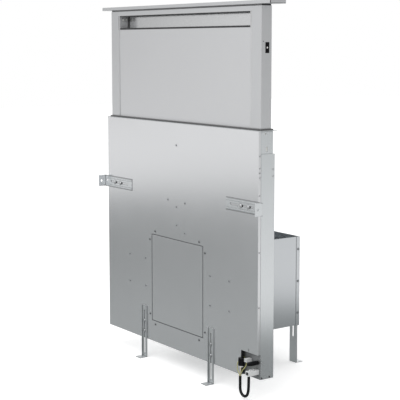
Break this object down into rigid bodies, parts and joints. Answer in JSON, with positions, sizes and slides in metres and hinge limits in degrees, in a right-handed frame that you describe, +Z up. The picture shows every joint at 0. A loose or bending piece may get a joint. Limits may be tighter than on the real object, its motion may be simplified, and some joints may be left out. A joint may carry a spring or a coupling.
{
  "type": "telescopic downdraft vent",
  "caption": "Telescopic downdraft vent: a flat slotted chimney rises from a slim housing on slotted legs, with a blower box behind.",
  "frame": {"origin": "on the floor under the middle of the overall footprint", "axes": "+X along the wide face to the wiring corner's end, -Y towards the cook from the wide face with the slot, +Z up"},
  "size_m": [0.9144, 0.42, 1.173],
  "materials": {
    "stainless": "fine horizontal brush, satin",
    "galvanised": "smooth bright galvanised sheet",
    "zinc_plated": "zinc plated",
    "screws": "zinc plated, dull",
    "dark_seal": "matt",
    "scroll_sheet": "galvanised",
    "motor_paint": "semi-gloss",
    "bright_shaft": "ground",
    "nut_brass": "machined",
    "nylon": "matt",
    "filter_mesh": "expanded mesh, satin",
    "black_plastic": "matt",
    "lens": "gloss",
    "white_plastic": "matt",
    "plain_insulation": "soft gloss",
    "earth_insulation": "soft gloss",
    "cable_jacket": "matt"
  },
  "bodies": {
    "housing": {"near_panel": "galvanised", "side_channel_left": "galvanised", "side_channel_right": "galvanised", "far_panel": "galvanised", "rear_tray": "galvanised", "side_cover_left": "galvanised", "side_cover_right": "galvanised", "housing_floor": "galvanised", "top_flange": "galvanised", "wiper_seal": "dark_seal", "access_cover": "galvanised", "near_face_fasteners": "screws", "side_cover_screws": "screws", "leg_screws": "screws", "bracket_clamp_screws": "screws", "blower_box": "galvanised", "blower_rear_cover": "galvanised", "blower_cover_screws": "screws", "inlet_partition": "galvanised", "scroll": "scroll_sheet", "blower_motor": "motor_paint", "motor_mount": "scroll_sheet", "gearmotor": "motor_paint", "guide_rails": "nylon", "control_box": "galvanised", "supply_box": "galvanised", "wiring_tray": "galvanised", "supply_plug": "black_plastic", "motor_plug": "white_plastic", "lead_connector": "white_plastic", "elbow_plug": "black_plastic", "jumper_cable": "cable_jacket", "plain_cores": "plain_insulation", "earth_cores": "earth_insulation"},
    "chimney": {"chimney_column_left": "stainless", "chimney_column_right": "stainless", "chimney_top_rail": "stainless", "chimney_rear_wall": "stainless", "front_panel": "stainless", "slot_end_plates": "galvanised", "slot_trims": "dark_seal", "crossbar": "galvanised", "grease_filter_left": "filter_mesh", "grease_filter_right": "filter_mesh", "cap_gasket": "dark_seal", "top_cap": "stainless", "control_holder": "black_plastic", "indicator_lens": "lens", "lift_nut": "nut_brass"},
    "lead_screw": {"lead_screw": "bright_shaft"},
    "blower_wheel": {"blower_wheel": "scroll_sheet", "motor_shaft": "bright_shaft"},
    "button_up": {"button_up": "black_plastic"},
    "button_down": {"button_down": "black_plastic"},
    "near_leg_left": {"near_leg_left": "zinc_plated"},
    "near_leg_right": {"near_leg_right": "zinc_plated"},
    "far_leg_left": {"far_leg_left": "zinc_plated"},
    "far_leg_right": {"far_leg_right": "zinc_plated"},
    "wall_bracket_left": {"wall_bracket_left": "zinc_plated"},
    "wall_bracket_right": {"wall_bracket_right": "zinc_plated"}
  },
  "joints": [
    {"name": "chimney_lift", "type": "slide", "parent": "housing", "child": "chimney", "axis": [0, 0, 1], "range_m": [-0.358, 0]},
    {"name": "lead_screw_turn", "type": "hinge", "parent": "housing", "child": "lead_screw", "pos_m": [0, -0.1478, 0.45], "axis": [0, 0, 1], "range_deg": [-6450, 5]},
    {"name": "blower_spin", "type": "hinge", "parent": "housing", "child": "blower_wheel", "pos_m": [-0.022, -0.05, 0.268], "axis": [0, 1, 0], "continuous": true},
    {"name": "button_up_press", "type": "slide", "parent": "chimney", "child": "button_up", "axis": [1, 0, 0], "range_m": [-0.0015, 0], "stiffness_N_per_m": 600},
    {"name": "button_down_press", "type": "slide", "parent": "chimney", "child": "button_down", "axis": [1, 0, 0], "range_m": [-0.0015, 0], "stiffness_N_per_m": 600},
    {"name": "near_leg_left_slide", "type": "slide", "parent": "housing", "child": "near_leg_left", "axis": [0, 0, 1], "range_m": [-0.03, 0.06]},
    {"name": "near_leg_right_slide", "type": "slide", "parent": "housing", "child": "near_leg_right", "axis": [0, 0, 1], "range_m": [-0.03, 0.06]},
    {"name": "far_leg_left_slide", "type": "slide", "parent": "housing", "child": "far_leg_left", "axis": [0, 0, 1], "range_m": [-0.025, 0.06]},
    {"name": "far_leg_right_slide", "type": "slide", "parent": "housing", "child": "far_leg_right", "axis": [0, 0, 1], "range_m": [-0.025, 0.06]},
    {"name": "wall_bracket_left_slide", "type": "slide", "parent": "housing", "child": "wall_bracket_left", "axis": [-1, 0, 0], "range_m": [-0.018, 0.045]},
    {"name": "wall_bracket_right_slide", "type": "slide", "parent": "housing", "child": "wall_bracket_right", "axis": [1, 0, 0], "range_m": [-0.018, 0.045]}
  ],
  "couplings": [
    {"joint": "lead_screw_turn", "follows": "chimney_lift", "rad_per_m": 314.16}
  ]
}
